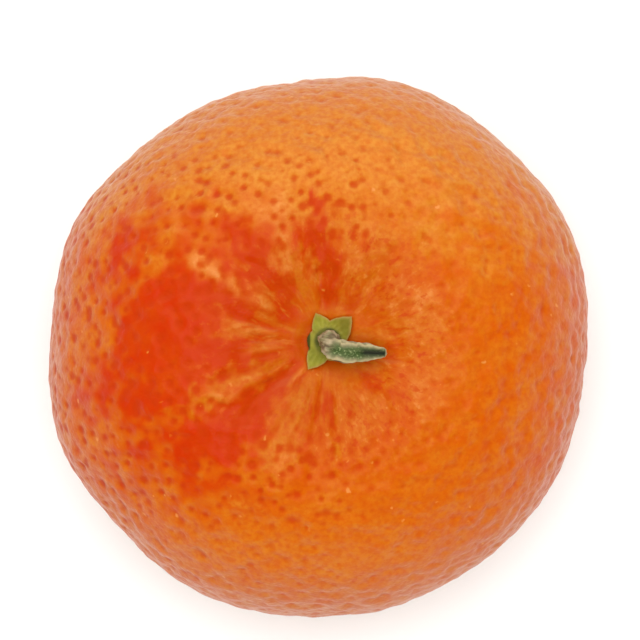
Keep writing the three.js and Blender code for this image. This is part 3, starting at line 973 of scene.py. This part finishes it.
def floor_material(settings):
    """Matt pale floor with a faint unevenness in its gloss."""
    material, graph, shader = new_material("floor")
    grain = graph.noise(graph.place(), 40.0, 3.0)
    roughness = graph.span(grain, 0.3, 0.7, 0.6, 0.75)
    graph.wire(shader, {"Base Color": settings.floor, "Roughness": roughness, "Specular IOR Level": 0.2})
    return material


def area_light(name, radiance, glow, size, place, aim):
    """A rectangular light that looks at a point and shows only in gloss. Its power is radiance * pi * area."""
    light = bpy.data.lights.new(name, "AREA")
    light.color = glow[:3]
    light.shape, light.size, light.size_y = "RECTANGLE", *size
    light.energy = radiance * math.pi * size[0] * size[1]
    lamp = bpy.data.objects.new(name, light)
    lamp.location = place
    lamp.rotation_euler = (Vector(aim) - Vector(place)).to_track_quat("-Z", "Y").to_euler()
    lamp.visible_camera = lamp.visible_diffuse = False
    bpy.context.scene.collection.objects.link(lamp)


class MANDARIN_OT_peel(Operator):
    """Build the peel with its furrows and oil pits"""

    bl_idname = "mandarin.peel"
    bl_label = "Peel"

    def execute(self, context):
        settings = context.scene.mandarin_peel
        add_piece("fruit", peel_mesh(settings), peel_material(settings))
        return {"FINISHED"}


class MANDARIN_OT_calyx(Operator):
    """Build the green star of the calyx"""

    bl_idname = "mandarin.calyx"
    bl_label = "Calyx"

    def execute(self, context):
        settings = context.scene.mandarin_calyx
        add_piece("calyx", calyx_mesh(settings), calyx_material(settings))
        return {"FINISHED"}


class MANDARIN_OT_stem(Operator):
    """Build the bent stub of the stem"""

    bl_idname = "mandarin.stem"
    bl_label = "Stem"

    def execute(self, context):
        settings = context.scene.mandarin_stem
        add_piece("stem", stem_mesh(settings), stem_material(settings))
        return {"FINISHED"}


class MANDARIN_OT_stage(Operator):
    """Add the floor, the soft lights and the camera"""

    bl_idname = "mandarin.stage"
    bl_label = "Stage"

    def execute(self, context):
        settings, scene = context.scene.mandarin_stage, context.scene
        half = settings.floor_size / 2
        mesh = bpy.data.meshes.new("floor")
        mesh.from_pydata([(-half, -half, 0), (half, -half, 0), (half, half, 0), (-half, half, 0)], [], [(0, 1, 2, 3)])
        mesh.materials.append(floor_material(settings))
        floor = bpy.data.objects.new("floor", mesh)
        scene.collection.objects.link(floor)

        world = bpy.data.worlds.new("pale_room")
        world.use_nodes = True
        graph = Graph(world.node_tree)
        rise = graph.part(graph.node("ShaderNodeTexCoord").outputs["Generated"], "Z")
        strength = graph.span(rise, 0.0, HORIZON_BAND, settings.room, settings.room * settings.ceiling)
        graph.wire(world.node_tree.nodes["Background"], {"Color": settings.glow, "Strength": strength})
        scene.world = world

        overhead = bpy.data.lights.new("overhead", "SUN")
        overhead.energy, overhead.angle = settings.sun, math.radians(SUN_SPREAD)
        lamp = bpy.data.objects.new("overhead", overhead)
        lamp.rotation_euler = (*np.radians(SUN_TILT), 0)
        lamp.visible_glossy = lamp.visible_camera = False
        scene.collection.objects.link(lamp)
        top = HALF_HEIGHT * MM
        area_light("softbox", settings.softbox, settings.glow, SOFTBOX_SIZE, SOFTBOX_PLACE, (0, 0, top))
        area_light("panel", settings.panel, settings.glow, PANEL_SIZE, PANEL_PLACE, (0, 0, top))

        camera = bpy.data.cameras.new("camera")
        camera.lens = settings.lens
        seen = bpy.data.objects.new("camera", camera)
        height = top + settings.view_width * settings.lens / camera.sensor_width
        seen.location = (*settings.aim, height)
        camera.clip_start, camera.clip_end = CAMERA_CLIP
        scene.collection.objects.link(seen)
        scene.camera = seen
        scene.view_settings.view_transform = "Standard"
        return {"FINISHED"}


class MANDARIN_PT_panel(Panel):
    """Lists the steps that build the mandarin"""

    bl_idname = "MANDARIN_PT_panel"
    bl_label = "Mandarin"
    bl_space_type = "VIEW_3D"
    bl_region_type = "UI"
    bl_category = "Mandarin"

    def draw(self, context):
        for operator in OPERATORS:
            self.layout.operator(operator.bl_idname)


SETTINGS = {
    "mandarin_peel": PeelSettings,
    "mandarin_calyx": CalyxSettings,
    "mandarin_stem": StemSettings,
    "mandarin_stage": StageSettings,
}
OPERATORS = (MANDARIN_OT_peel, MANDARIN_OT_calyx, MANDARIN_OT_stem, MANDARIN_OT_stage)


def register():
    for made in (*SETTINGS.values(), *OPERATORS, MANDARIN_PT_panel):
        bpy.utils.register_class(made)
    for name, group in SETTINGS.items():
        setattr(bpy.types.Scene, name, PointerProperty(type=group))


def unregister():
    for name in SETTINGS:
        delattr(bpy.types.Scene, name)
    for made in (MANDARIN_PT_panel, *OPERATORS, *SETTINGS.values()):
        bpy.utils.unregister_class(made)


def main():
    register()
    bpy.ops.mandarin.peel()
    bpy.ops.mandarin.calyx()
    bpy.ops.mandarin.stem()
    bpy.ops.mandarin.stage()


if __name__ == "__main__":
    main()
